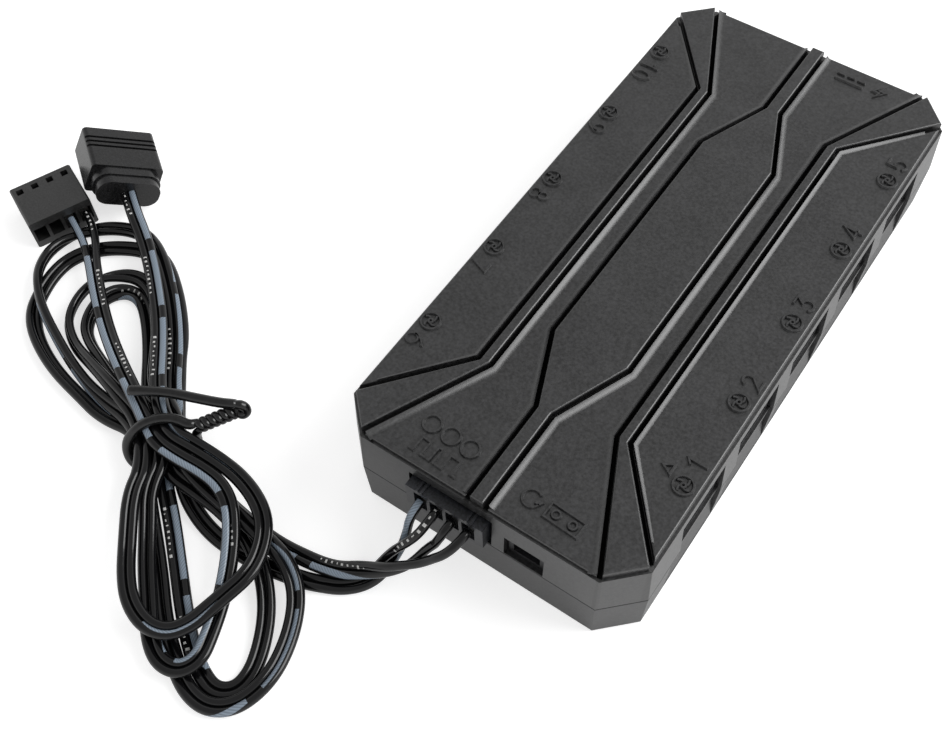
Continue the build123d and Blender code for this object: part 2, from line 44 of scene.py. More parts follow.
# Camera: it looks down on the hub from the right of its near end, as a product photographer stands
# over a small thing on a table. The lens is a short telephoto on a 36 mm wide sensor.
camera_data = bpy.data.cameras.new("camera")
camera_data.sensor_fit = "HORIZONTAL"
camera_data.sensor_width = 36.0
camera_data.lens = 46.69
camera_data.clip_start = 0.01
camera = bpy.data.objects.new("camera", camera_data)
scene.collection.objects.link(camera)
camera_right = (0.82152, 0.56958, -0.02627)
camera_up = (-0.46963, 0.70204, 0.53534)
camera_back = (0.32336, -0.42745, 0.84423)
camera_place = (41.513 * MM, -101.757 * MM, 155.544 * MM)
camera.matrix_world = Matrix((*zip(camera_right, camera_up, camera_back, camera_place), (0, 0, 0, 1)))
scene.camera = camera


# Case: two covers moulded in charcoal ABS with a fine eroded texture. They part at mid height, and four
# screws from below hold them together. Their solids are shown as they are, with painted shade in the deck's grooves.
# Levels of the deck's panels and bends of its borders (across, along) are in mm.
inner_level = 17.2
side_level = 17.7
spine_bend, spine_nose = (6.05, 20.5), (1.35, 31.9)
inner_bend, inner_end = (9.75, 29.9), (18.18, 47.85)
outer_bend, outer_end = (11.8, 29.9), (22.85, 43.18)
case_look = ((0.013, 0.013, 0.0135), 0.34, 2300.0, 0.000005, 0.85)
# The lower cover's look is a little darker and less glossy than the upper cover's: painted shade for the shadow near
# the floor.
shaded_tray_look = ((0.012, 0.012, 0.0125), 0.38, 2300.0, 0.000005, 0.6)


def place_node(tree, kind, inputs=None, **settings):
    """One shader node: its settings first, then each input, given as a value or as the socket that feeds it."""
    made = tree.nodes.new(kind)
    for key, value in settings.items():
        setattr(made, key, value)
    for key, value in (inputs or {}).items():
        if isinstance(value, bpy.types.NodeSocket):
            tree.links.new(value, made.inputs[key])
        else:
            made.inputs[key].default_value = value
    return made


def math(tree, operation, first, second=0.0, third=0.0):
    """One sum of a material's nodes."""
    made = place_node(tree, "ShaderNodeMath", {0: first, 1: second, 2: third}, operation=operation)
    return made.outputs[0]


def ramp(tree, value, start, end, at_start=0.0, at_end=1.0):
    """A value moved from the span start to end on to the span at_start to at_end, and held beyond its ends."""
    made = place_node(
        tree, "ShaderNodeMapRange",
        {"Value": value, "From Min": start, "From Max": end, "To Min": at_start, "To Max": at_end},
    )
    return made.outputs["Result"]


def new_finish(name):
    """A new material, its node tree and its shader."""
    material = bpy.data.materials.new(name)
    material.use_nodes = True
    return material, material.node_tree, material.node_tree.nodes["Principled BSDF"]


def coat(tree, shader, tint, dullness, bump):
    """Feeds a shader its colour, its roughness and its normal."""
    tree.links.new(tint.outputs[2], shader.inputs["Base Color"])
    tree.links.new(dullness, shader.inputs["Roughness"])
    tree.links.new(bump.outputs["Normal"], shader.inputs["Normal"])


broad_scale = 110.0
pit_share = 0.5
fine_share = 3.0
grain_group = bpy.data.node_groups.new("moulded_grain", "ShaderNodeTree")
for socket_name, direction, socket_kind in (
    ("Vector", "INPUT", "NodeSocketVector"), ("Grain", "INPUT", "NodeSocketFloat"),
    ("Height", "OUTPUT", "NodeSocketFloat"), ("Mottle", "OUTPUT", "NodeSocketFloat"),
):
    grain_group.interface.new_socket(socket_name, in_out=direction, socket_type=socket_kind)
grain_in = place_node(grain_group, "NodeGroupInput")
grain_out = place_node(grain_group, "NodeGroupOutput")
grain_spot = {"Vector": grain_in.outputs["Vector"], "Scale": grain_in.outputs["Grain"]}
grain_fine = place_node(grain_group, "ShaderNodeTexNoise", {**grain_spot, "Detail": 3.0, "Roughness": 0.6})
grain_pits = place_node(grain_group, "ShaderNodeTexVoronoi", grain_spot)
grain_broad = place_node(grain_group, "ShaderNodeTexNoise", {**grain_spot, "Scale": broad_scale, "Detail": 4.0})
fine = grain_fine.outputs["Fac"]
grain_height = math(grain_group, "MULTIPLY_ADD", grain_pits.outputs["Distance"], pit_share, fine)
grain_mottle = math(grain_group, "MULTIPLY_ADD", fine, fine_share, grain_broad.outputs["Fac"])
grain_group.links.new(grain_height, grain_out.inputs["Height"])
grain_group.links.new(grain_mottle, grain_out.inputs["Mottle"])


def moulded(name, colour, roughness, grain, relief, gloss=0.5):
    """Moulded plastic: colour and roughness drift with the mottle, and the grain stands up by the relief.

    The grain is the scale of its noise, and the relief is in metres.
    """
    dark_share, pale_share, drift = 0.2, 2.2, 0.06
    material, tree, shader = new_finish(name)
    shader.inputs["Specular IOR Level"].default_value = gloss
    place = place_node(tree, "ShaderNodeTexCoord")
    grains = place_node(
        tree, "ShaderNodeGroup", {"Vector": place.outputs["Object"], "Grain": grain}, node_tree=grain_group
    )
    dark = (*(dark_share * c for c in colour), 1.0)
    pale = (*(pale_share * c for c in colour), 1.0)
    mottle = ramp(tree, grains.outputs["Mottle"], 1.4, 2.6)
    tint = place_node(tree, "ShaderNodeMix", {0: mottle, 6: dark, 7: pale}, data_type="RGBA")
    dullness = ramp(tree, grains.outputs["Height"], 0.0, 1.2, roughness - drift, roughness + drift)
    bump = place_node(
        tree, "ShaderNodeBump", {"Height": grains.outputs["Height"], "Strength": 0.6, "Distance": relief}
    )
    coat(tree, shader, tint, dullness, bump)
    return material


def dress(material, *names):
    """Gives every material slot of the named solids the finish."""
    for name in names:
        for slot in nodes[name].material_slots:
            slot.material = material


def darken_grooves(material):
    """Paints shade into the grooves beside the ribs and the spine, and leans the normals in them as a wall's would
    lean.

    The way is counted from the nearest border into the panel beside it. The painted shade, a near-black colour, lies
    where the way is short, below the panels' tops. The lean is that of a height which falls across the groove as a
    share to the power 2.5.
    """
    deck_floor, panel_tops = 16.5 * MM, 17.75 * MM
    lean_start, lean_end, lean_share, lean_power, lean_height = -0.35 * MM, 0.4 * MM, 1.625, 2.5, 0.6 * MM
    dark_half, clear_half = 0.3 * MM, 0.45 * MM
    groove_shade_colour = (0.002, 0.002, 0.002, 1.0)
    tree = material.node_tree
    shader = tree.nodes["Principled BSDF"]
    place = place_node(tree, "ShaderNodeTexCoord")
    spot = place_node(tree, "ShaderNodeSeparateXYZ", {0: place.outputs["Object"]})
    across = math(tree, "ABSOLUTE", spot.outputs["X"])
    along = math(tree, "ABSOLUTE", spot.outputs["Y"])
    spine_edge, rib_inside, rib_outside = (
        ramp(tree, along, bend * MM, end * MM, at_bend * MM, at_end * MM)
        for (at_bend, bend), (at_end, end) in (
            (spine_bend, spine_nose), (inner_bend, inner_end), (outer_bend, outer_end),
        )
    )
    past_spine = math(tree, "SUBTRACT", across, spine_edge)
    before_rib = math(tree, "SUBTRACT", rib_inside, across)
    past_rib = math(tree, "SUBTRACT", across, rib_outside)
    way = math(tree, "MAXIMUM", math(tree, "MINIMUM", past_spine, before_rib), past_rib)
    share = ramp(tree, way, lean_start, lean_end, lean_share, 1.0)
    on_deck = math(tree, "GREATER_THAN", spot.outputs["Z"], deck_floor)
    height = math(tree, "MULTIPLY", math(tree, "POWER", share, lean_power), on_deck)
    grain_normal = shader.inputs["Normal"].links[0].from_socket
    lean = place_node(
        tree, "ShaderNodeBump", {"Height": height, "Strength": 1.0, "Distance": lean_height, "Normal": grain_normal}
    )
    tree.links.new(lean.outputs["Normal"], shader.inputs["Normal"])
    # Painted shade: a near-black base colour in the grooves beside the borders, below the panels' tops.
    near_border = ramp(tree, math(tree, "ABSOLUTE", way), dark_half, clear_half, 1.0, 0.0)
    below_tops = math(tree, "LESS_THAN", spot.outputs["Z"], panel_tops)
    groove_shade_mask = math(tree, "MULTIPLY", near_border, below_tops)
    tint = shader.inputs["Base Color"].links[0].from_socket
    groove_shade_tint = place_node(tree, "ShaderNodeMix", {0: groove_shade_mask, 6: tint, 7: groove_shade_colour}, data_type="RGBA")
    tree.links.new(groove_shade_tint.outputs[2], shader.inputs["Base Color"])


case_plastic = moulded("case_plastic", *case_look)
shaded_tray_plastic = moulded("shaded_tray_plastic", *shaded_tray_look)
dress(shaded_tray_plastic, "bottom_cover")
deck_plastic = moulded("deck_plastic", *case_look)
darken_grooves(deck_plastic)
dress(deck_plastic, "top_cover")

# Panel lips: every panel rises in a hollow curve to the groove beside a rib or the spine, in the same plastic.
# Each lip is a closed strip along a border of the deck, with its foot run out into the panel.
lip_start = 0.34
lip_root = -0.2
lip_foot = -0.03
lip_power = 2.5
lip_crease = 35
lip_steps = np.linspace(0.0, 1.0, 11)


def mitre(line):
    """Unit runs of a plan line, whether it closes, and each point's way to its left, stretched as a mitre is."""
    run = np.diff(line, axis=0)
    run /= np.linalg.norm(run, axis=1, keepdims=True)
    closed = np.allclose(line[0], line[-1])
    before = np.vstack([run[-1:] if closed else run[:1], run])
    after = np.vstack([run, run[:1] if closed else run[-1:]])
    bisector = before + after
    bisector /= np.linalg.norm(bisector, axis=1, keepdims=True)
    stretch = 1 / np.maximum(np.sum(bisector * before, axis=1), 0.5)
    return run, closed, np.c_[-bisector[:, 1], bisector[:, 0]] * stretch[:, None]


def panel_lip(border, side, level, rise, reach, taper):
    """A strip on one side of a plan line, mitred at its bends: points, quads round the section and two end faces.

    Its top falls from the rise by one minus the share of the reach, to the power 2.5, and each station's taper
    scales the reach.
    """
    sideways = side * mitre(border)[2]
    way = lip_start + reach * np.outer(taper, np.append(lip_steps, 0.0))
    height = level + np.append(rise * (1 - lip_steps) ** lip_power + lip_foot * lip_steps, lip_root)
    plan = border[:, None] + sideways[:, None] * way[:, :, None]
    points = np.dstack([plan, np.broadcast_to(height, way.shape)]).reshape(-1, 3)
    ring = len(height)
    k, j = np.meshgrid(np.arange(len(border) - 1), np.arange(ring), indexing="ij")
    a, b = (ring * k + j).ravel(), (ring * k + (j + 1) % ring).ravel()
    ends = [list(range(ring)), list(range(len(points) - ring, len(points)))]
    return points, np.c_[a, b, b + ring, a + ring].tolist() + ends


# Each border: half of its bends from the far end to the middle, the side of its lip, the panel's level, and the
# lip's rise, reach and taper at the ends. The lips stop just short of the deck's edge.
deck_borders = [
    ([(1.35, 47.2), spine_nose, spine_bend], -1, inner_level, 0.5, 1.2, 1.0),
    ([(17.87, 47.2), inner_bend], 1, inner_level, 0.5, 1.2, 1.0),
    ([(20.64, 40.52), outer_bend], -1, side_level, 0.27, 0.9, 0.6),
]
lip_points, lip_faces, used = [], [], 0
for half_border, side, level, rise, reach, end_taper in deck_borders:
    border = np.array([(x, -y) for x, y in half_border] + half_border[::-1])
    taper = np.ones(len(border))
    taper[[0, -1]] = end_taper
    for half_turn in (1, -1):
        points, faces = panel_lip(half_turn * border, side, level, rise, reach, taper)
        lip_points.append(points)
        lip_faces += [[corner + used for corner in face] for face in faces]
        used += len(points)
lip_mesh = bpy.data.meshes.new("panel_lips")
lip_mesh.from_pydata(np.vstack(lip_points) * MM, [], lip_faces)
lip_shape = bmesh.new()
lip_shape.from_mesh(lip_mesh)
bmesh.ops.recalc_face_normals(lip_shape, faces=lip_shape.faces)
lip_shape.to_mesh(lip_mesh)
lip_shape.free()
lip_mesh.polygons.foreach_set("use_smooth", np.ones(len(lip_mesh.polygons), bool))
lip_mesh.set_sharp_from_angle(angle=np.radians(lip_crease))
lip_mesh.materials.append(case_plastic)
panel_lips = bpy.data.objects.new("panel_lips", lip_mesh)
scene.collection.objects.link(panel_lips)
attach(panel_lips, "root")

# Signs: strokes moulded on the covers beside the ports, as raised lines of the same plastic. Ten numbered
# fans stand along the sides, and plain pictures for light, pulse, reset and power at the ends.
stroke_width = 0.5
stroke_top = 0.24
stroke_rise = 0.32
stroke_root = -0.02


def arc(x, y, radius_x, radius_y, start, end, count=17):
    """Points of an ellipse's arc: centre plus radii times cosine and sine of angles from start to end degrees."""
    angle = np.radians(np.linspace(start, end, count))
    return np.c_[x + radius_x * np.cos(angle), y + radius_y * np.sin(angle)]


digit_strokes = {
    "0": [arc(0.3, 0.5, 0.3, 0.5, 90, 450, 33)],
    "1": [np.array([(0.1, 0.78), (0.34, 1.0), (0.34, 0.0)])],
    "2": [np.vstack([arc(0.3, 0.7, 0.28, 0.3, 165, -30), [(0.02, 0.0), (0.6, 0.0)]])],
    "3": [np.vstack([[(0.04, 1.0), (0.56, 1.0), (0.27, 0.6)], arc(0.27, 0.3, 0.31, 0.3, 75, -155)])],
    "4": [np.array([(0.44, 0.0), (0.44, 1.0), (0.02, 0.3), (0.64, 0.3)])],
    "5": [np.vstack([[(0.55, 1.0), (0.12, 1.0), (0.07, 0.55)], arc(0.29, 0.32, 0.3, 0.32, 125, -150)])],
    "6": [arc(0.3, 0.31, 0.29, 0.31, 90, 450, 33), arc(0.62, 0.31, 0.61, 0.7, 180, 105)],
    "7": [np.array([(0.02, 1.0), (0.6, 1.0), (0.22, 0.0)])],
    "8": [arc(0.3, 0.76, 0.24, 0.24, 90, 450, 33), arc(0.3, 0.26, 0.3, 0.26, 90, 450, 33)],
    "9": [arc(0.3, 0.69, 0.29, 0.31, 90, 450, 33), arc(-0.02, 0.69, 0.61, 0.7, 0, -75)],
}
spiral = np.linspace(0.16, 0.40, 9)
blade_strokes = [
    np.c_[0.5 + spiral * np.cos(first + 3.2 * spiral), 0.5 + spiral * np.sin(first + 3.2 * spiral)]
    for first in np.radians((0, 90, 180, 270))
]
fan_picture = [arc(0.5, 0.5, 0.5, 0.5, 0, 360, 41), arc(0.5, 0.5, 0.12, 0.12, 0, 360, 17), *blade_strokes]
light_picture = [arc(0.5 + 1.25 * n, 0.5, 0.5, 0.5, 0, 360, 33) for n in range(3)]
pulse_picture = [np.array([
    (0.0, 0.0), (0.3, 0.0), (0.3, 1.0), (0.9, 1.0), (0.9, 0.0), (1.5, 0.0), (1.5, 1.0), (1.8, 1.0), (1.8, 0.0),
    (2.4, 0.0), (2.4, 1.0), (3.1, 1.0), (3.1, 0.0), (3.4, 0.0),
])]
reset_picture = [
    arc(0.5, 0.5, 0.5, 0.5, 50, 350, 33), np.array([(0.78, 0.42), (0.99, 0.4), (1.1, 0.62)]),
    arc(2.0, 0.5, 0.22, 0.22, 0, 360, 25), arc(3.0, 0.5, 0.22, 0.22, 0, 360, 25),
    np.array([(1.5, 0.05), (1.5, 0.95), (3.5, 0.95), (3.5, 0.05), (1.5, 0.05)]),
]
power_picture = [
    np.array([(0.55, 1.0), (0.1, 0.42), (0.5, 0.42), (0.3, 0.0), (0.8, 0.58), (0.4, 0.58), (0.55, 1.0)]),
    np.array([(1.5, 0.72), (3.3, 0.72)]), np.array([(1.5, 0.28), (1.95, 0.28)]),
    np.array([(2.18, 0.28), (2.62, 0.28)]), np.array([(2.85, 0.28), (3.3, 0.28)]),
]
first_picture = [np.array([(0.0, 0.0), (1.0, 0.0), (0.5, 0.87), (0.0, 0.0)])]


def number_strokes(number, start):
    """Strokes of a plain number, its digits side by side from the start."""
    digit_pitch = 0.85
    return [
        stroke + (start + digit_pitch * n, 0.0)
        for n, digit in enumerate(str(number)) for stroke in digit_strokes[digit]
    ]


def stroke_ridge(line, level):
    """A low ridge along a plan line: a trapezium section on the mitred sides of the line, sloped down at its ends.

    The section's corners are at half the width on the panel and at half the top width at the rise above it.
    """
    run, closed, sideways = mitre(line)
    half = np.array([-stroke_width, -stroke_top, stroke_top, stroke_width]) / 2
    height = level + np.array([stroke_root, stroke_rise, stroke_rise, stroke_root])
    if not closed:
        slope = (stroke_width - stroke_top) / 2
        line = np.vstack([line[0] - run[0] * slope, line, line[-1] + run[-1] * slope])
        sideways = np.vstack([sideways[:1], sideways, sideways[-1:]])
    plan = line[:, None] + sideways[:, None] * half[None, :, None]
    rise = np.broadcast_to(height, plan.shape[:2]).copy()
    if not closed:
        rise[[0, -1]] = level + stroke_root
    points = np.dstack([plan, rise]).reshape(-1, 3)
    k, j = np.meshgrid(np.arange(len(line) - 1), np.arange(3), indexing="ij")
    a = (4 * k + j).ravel()
    return points, np.c_[a, a + 1, a + 5, a + 4][:, ::-1]


def sign(name, placed):
    """Joins ridges into one piece. Each picture is scaled to its height, turned and moved to its place."""
    points, faces, used = [], [], 0
    for strokes, height, turn, place, level in placed:
        c, s = np.cos(np.radians(turn)), np.sin(np.radians(turn))
        low = np.min([stroke.min(axis=0) for stroke in strokes], axis=0)
        high = np.max([stroke.max(axis=0) for stroke in strokes], axis=0)
        for stroke in strokes:
            flat = (stroke - (low + high) / 2) * height
            line = flat @ np.array([[c, s], [-s, c]]) + place
            ridge, quads = stroke_ridge(line, level)
            points.append(ridge)
            faces.append(quads + used)
            used += len(ridge)
    mesh = bpy.data.meshes.new(name)
    mesh.from_pydata(np.vstack(points) * MM, [], np.vstack(faces).tolist())
    mesh.validate()
    mesh.update()
    piece = bpy.data.objects.new(name, mesh)
    scene.collection.objects.link(piece)
    mesh.materials.append(case_plastic)
    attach(piece, "root")


right_spots = (-30.2, -15.3, -0.2, 14.8, 30.0)
left_spots = (-30.2, -14.8, 0.5, 16.4, 30.8)
fan_height = 2.7
number_start = 1.55
side_signs = []
for spots, first_number, turn, across in ((right_spots, 1, 90, 20.3), (left_spots, 6, -90, -20.6)):
    for number, spot in enumerate(spots, first_number):
        numbered_fan = fan_picture + number_strokes(number, number_start)
        side_signs.append((numbered_fan, fan_height, turn, (across, spot), side_level))
side_signs.append((first_picture, 1.5, 90, (17.4, right_spots[0]), side_level))
sign("side_signs", side_signs)
sign("end_signs", [
    (light_picture, 2.5, -3, (-8.0, -41.6), inner_level),
    (pulse_picture, 2.2, -3, (-7.9, -45.0), inner_level),
    (reset_picture, 2.5, -3, (8.6, -43.4), inner_level),
    (power_picture, 2.5, 180, (8.6, 44.6), inner_level),
])

# Inside the case: a green board with black nylon sockets, plated pins, chips and capacitors, all soldered on.
# Little of it shows through the ports.
board_mask = moulded("board_mask", (0.006, 0.020, 0.010), 0.35, 900.0, 0.00002)
socket_nylon = moulded("socket_nylon", (0.006, 0.006, 0.007), 0.45, 3200.0, 0.00002)
chip_epoxy = moulded("chip_epoxy", (0.012, 0.012, 0.013), 0.6, 4200.0, 0.00002)
resistor_glaze = moulded("resistor_glaze", (0.05, 0.05, 0.055), 0.3, 2500.0, 0.00001)


def plated(name, colour, roughness):
    """Plated metal: the colour a little stained, and fine scratches as roughness and relief."""
    stain_share = 0.65
    material, tree, shader = new_finish(name)
    shader.inputs["Metallic"].default_value = 1.0
    place = place_node(tree, "ShaderNodeTexCoord")
    noise = place_node(tree, "ShaderNodeTexNoise", {"Vector": place.outputs["Object"], "Scale": 700.0, "Detail": 5.0})
    stain = noise.outputs["Fac"]
    stained = (*(stain_share * c for c in colour), 1.0)
    tint = place_node(tree, "ShaderNodeMix", {0: stain, 6: stained, 7: (*colour, 1.0)}, data_type="RGBA")
    dullness = ramp(tree, stain, 0.0, 1.0, roughness + 0.12, roughness - 0.08)
    bump = place_node(tree, "ShaderNodeBump", {"Height": stain, "Strength": 0.25, "Distance": 0.00002})
    coat(tree, shader, tint, dullness, bump)
    return material


tin_plate = plated("tin_plate", (0.62, 0.61, 0.58), 0.32)
gold_plate = plated("gold_plate", (0.78, 0.56, 0.24), 0.28)
screw_zinc = plated("screw_zinc", (0.55, 0.55, 0.56), 0.35)
can_aluminium = plated("can_aluminium", (0.66, 0.66, 0.68), 0.3)
dress(board_mask, "circuit_board")
dress(socket_nylon, "power_header", "cable_header", "reset_header", *(f"fan_header_{n}" for n in range(1, 11)))
dress(tin_plate, "cable_header_pins", "reset_header_pins", *(f"fan_pins_{n}" for n in range(1, 11)))
dress(gold_plate, "power_contacts")
dress(chip_epoxy, "controller_chip", "driver_chips")
dress(can_aluminium, "capacitors")
dress(resistor_glaze, "chip_resistors")
dress(screw_zinc, "case_screws")

# Plugs: the hub's own four-way plug and the fan plug are moulded in hard black nylon round tinned terminals,
# and the light plug is a softer black moulding. Their solids are shown as they are.
plug_nylon = moulded("plug_nylon", (0.012, 0.013, 0.016), 0.36, 3000.0, 0.00002)
fan_plug_nylon = moulded("fan_plug_nylon", (0.011, 0.011, 0.011), 0.36, 3600.0, 0.00001, 0.8)
light_plug_rubber = moulded("light_plug_rubber", (0.006, 0.006, 0.0064), 0.24, 3000.0, 0.000006, 0.45)
dress(plug_nylon, "cable_plug")
dress(fan_plug_nylon, "fan_plug")
dress(light_plug_rubber, "light_plug")
dress(tin_plate, "cable_plug_terminals", "fan_plug_terminals", "light_plug_sockets")

# Cables: two flat twin cables of thin PVC wires run from the plug in the near end to the fan plug and the
# light plug. They are folded up and down through a wire tie, and the folds fan out and roll on both sides of it.
wire_diameter = 1.3 * MM
wire_segments = 16
bond = 0.62 * MM
hub_spread = 1.25 * MM
fan_spread = 1.27 * MM
# Each pass: how far the pair rolls on its edge in degrees, how far its stripe and its print turn from the top in
# turns, and its control points in mm.
fan_passes = [
    (180, 0.0, 0.0, [(-6.4, -49.45, 11.9), (-6.4, -50.9, 11.9), (-6.8, -52.6, 10.1)]),
    (140, 0.1, 0.0, [(-7.53, -53.86, 7.92)]),
    (90, 0.3, 0.2, [(-8.45, -55.21, 5.23)]),
    (45, 0.5, 0.5, [(-9.17, -56.58, 3.06)]),
    (0, 0.5, 0.5, [(-9.87, -58.2, 1.48), (-11.06, -59.94, 0.78), (-13.05, -61.65, 0.65), (-15.35, -62.76, 0.67),
                   (-17.25, -63.56, 0.67), (-20.55, -64.46, 0.66), (-24.25, -65.15, 0.66),
                   (-27.64, -65.54, 0.69), (-31.24, -65.62, 0.68), (-35.23, -64.89, 0.74), (-39.3, -63.21, 1.3),
                   (-43.49, -59.96, 2.33), (-48.33, -55.09, 1.69)]),
    (60, 0.5, 0.5, [(-54.95, -47.26, 1.05), (-56.99, -44.06, 1.3), (-59.96, -40.97, 1.27),
                    (-63.85, -37.64, 1.23), (-68.13, -34.84, 1.24)]),
    (8, 0.5, 0.5, [(-72.05, -33.56, 0.85), (-75.37, -34.29, 0.81), (-78.08, -35.69, 0.8), (-80.39, -37.39, 0.8),
                   (-82.5, -39.79, 0.79), (-83.6, -42.69, 0.77), (-83.5, -45.99, 0.75), (-82.5, -49.4, 0.74),
                   (-80.91, -52.4, 0.97)]),
    (45, 0.4, 0.5, [(-77.92, -55.13, 1.18), (-73.73, -57.26, 1.19), (-68.84, -58.82, 1.19),
                    (-63.48, -59.73, 1.11), (-58.25, -60.58, 1.03)]),
    (0, 0.0, 0.0, [(-51.65, -59.43, 1.8), (-43.97, -62.6, 2.17), (-41.36, -64.88, 1.98), (-38.19, -67.32, 1.55),
                   (-32.81, -72.09, 1.13), (-28.27, -76.11, 0.91), (-24.04, -79.45, 0.78),
                   (-20.74, -81.33, 0.66)]),
    (0, 0.5, 0.5, [(-17.68, -82.14, 0.66), (-15.42, -80.64, 0.66), (-15.1, -77.76, 0.75),
                   (-16.21, -74.42, 0.96), (-18.24, -70.78, 1.19), (-20.69, -67.85, 1.64),
                   (-23.83, -65.34, 2.12), (-28.02, -63.34, 2.35), (-33.31, -62.37, 2.65),
                   (-37.16, -62.35, 3.08), (-43.23, -62.35, 3.45), (-50.09, -57.44, 3.12),
                   (-54.92, -53.84, 2.03), (-60.15, -47.99, 1.13), (-64.9, -43.55, 0.66)]),
    (0, 0.12, 0.05, [(-68.31, -41.23, 0.65), (-71.42, -41.41, 0.78)]),
    (70, 0.5, 0.5, [(-73.05, -43.76, 1.31), (-73.14, -47.09, 1.24), (-71.63, -50.26, 1.26),
                    (-69.12, -52.01, 1.48), (-64.9, -53.61, 2.38), (-58.92, -55.59, 3.32)]),
    (0, 0.5, 0.5, [(-49.83, -56.37, 4.58), (-44.19, -61.26, 4.79), (-43.1, -66.11, 3.83),
                   (-39.71, -70.14, 2.99), (-35.71, -74.78, 2.64), (-32.17, -78.2, 2.6),
                   (-28.8, -81.71, 2.57)]),
    (0, 0.1, 0.5, [(-25.52, -83.52, 2.58), (-22.51, -83.03, 2.61), (-21.29, -80.35, 2.65)]),
    (0, 0.0, 0.45, [(-22.46, -76.78, 2.71), (-24.0, -72.83, 3.02)]),
    (0, 0.0, 0.0, [(-26.01, -68.83, 3.74), (-28.49, -64.99, 4.65)]),
    (0, 0.0, 0.5, [(-31.14, -62.01, 5.38), (-34.33, -60.43, 5.76), (-37.85, -60.31, 6.13),
                   (-41.5, -60.74, 6.47), (-45.98, -60.59, 6.18)]),
    (0, 0.0, 0.0, [(-50.26, -58.29, 6.24), (-54.79, -56.05, 6.57), (-60.27, -53.37, 5.57),
                   (-66.17, -50.08, 4.47), (-72.08, -46.05, 3.84), (-78.2, -41.3, 3.2), (-83.2, -37.23, 2.9),
                   (-86.9, -35.637, 2.9)]),
]
light_passes = [
    (0, 0.5, 0.5, [(-1.4, -49.45, 11.9), (-1.4, -51.1, 11.9), (-2.1, -52.8, 10.6), (-3.37, -53.74, 8.9)]),
    (-35, 0.5, 0.5, [(-4.74, -55.08, 7.3)]),
    (-90, 0.5, 0.3, [(-6.19, -56.35, 6.02), (-8.26, -57.7, 4.81)]),
    (-145, 0.3, 0.1, [(-11.28, -58.86, 3.16)]),
    (-180, 0.0, 0.0, [(-14.0, -60.2, 2.08), (-16.62, -60.86, 1.53), (-19.03, -61.22, 1.28),
                      (-22.72, -61.68, 1.13), (-26.32, -61.69, 1.02)]),
    (-180, 0.5, 0.5, [(-29.58, -61.37, 0.92), (-32.9, -60.99, 0.95), (-37.84, -60.27, 1.61),
                      (-41.88, -59.74, 3.62), (-45.03, -57.21, 3.69)]),
    (0, -0.15, 0.0, [(-48.07, -54.92, 3.73), (-52.29, -51.21, 3.15), (-56.11, -46.43, 2.96),
                     (-60.51, -41.84, 2.99), (-65.43, -37.72, 3.02)]),
    (0, -0.5, 0.5, [(-70.52, -34.18, 2.9), (-75.18, -32.27, 2.13), (-78.84, -32.24, 1.28),
                    (-82.1, -33.63, 1.05), (-84.54, -35.83, 1.03)]),
    (-75, -0.2, 0.5, [(-86.37, -39.32, 1.4), (-86.79, -42.9, 1.7), (-85.02, -46.81, 2.41), (-82.03, -49.7, 3.1),
                      (-78.64, -52.02, 2.92), (-73.89, -54.26, 2.18), (-67.68, -56.72, 1.67),
                      (-60.91, -58.49, 1.85)]),
    (0, -0.5, 0.5, [(-51.52, -59.14, 3.44), (-45.42, -64.3, 3.32), (-42.01, -67.78, 1.82),
                    (-35.19, -73.51, 0.86), (-29.11, -79.1, 0.95), (-23.45, -82.81, 1.07),
                    (-19.86, -84.32, 1.2), (-16.56, -84.33, 1.34)]),
    (0, 0.12, 0.5, [(-13.86, -82.36, 1.51), (-12.63, -78.68, 1.56), (-12.8, -74.56, 1.52),
                    (-14.52, -69.56, 1.53), (-16.91, -65.77, 2.37), (-20.08, -63.69, 3.05),
                    (-23.14, -62.9, 3.39)]),
    (0, 0.5, 0.5, [(-27.3, -62.4, 3.67), (-32.47, -61.88, 3.8), (-37.68, -61.34, 4.39), (-41.6, -60.24, 5.06),
                   (-47.84, -55.14, 5.51), (-53.71, -53.18, 4.32), (-58.95, -47.14, 2.58),
                   (-63.05, -42.6, 2.02), (-67.06, -39.68, 1.78), (-70.7, -38.75, 1.6),
                   (-73.88, -39.79, 1.32)]),
    (-70, 0.5, 0.5, [(-76.34, -42.69, 1.61), (-76.6, -46.6, 1.55), (-75.24, -50.21, 1.52),
                     (-73.05, -52.37, 1.51), (-69.65, -54.08, 1.81), (-64.55, -55.34, 3.35),
                     (-58.29, -57.01, 4.84)]),
    (0, 0.5, 0.5, [(-50.67, -58.89, 4.76), (-45.07, -64.34, 5.35), (-43.6, -68.47, 5.45), (-39.73, -73.5, 4.68),
                   (-36.42, -77.44, 4.47), (-33.43, -79.91, 4.34)]),
    (0, 0.14, 0.5, [(-29.65, -81.09, 4.28), (-26.46, -80.29, 4.26), (-24.75, -77.69, 4.3),
                    (-24.13, -74.71, 4.38)]),
    (0, 0.4, 0.5, [(-23.51, -71.83, 4.58), (-22.82, -68.22, 4.73), (-23.56, -64.72, 4.81),
                   (-25.47, -61.49, 4.93), (-28.38, -59.38, 5.17)]),
    (0, 0.3, 0.5, [(-32.47, -58.03, 5.45), (-36.53, -57.75, 5.8), (-40.97, -57.98, 6.4),
                   (-45.06, -58.26, 6.44)]),
    (0, 0.0, 0.0, [(-49.03, -56.2, 6.64), (-52.48, -53.23, 5.96), (-56.73, -48.48, 5.03), (-60.8, -44.21, 4.54),
                   (-64.87, -40.62, 4.29), (-69.54, -36.77, 4.16), (-74.0, -33.6, 4.4), (-78.4, -31.016, 5.2),
                   (-81.4, -28.9, 5.2)]),
]


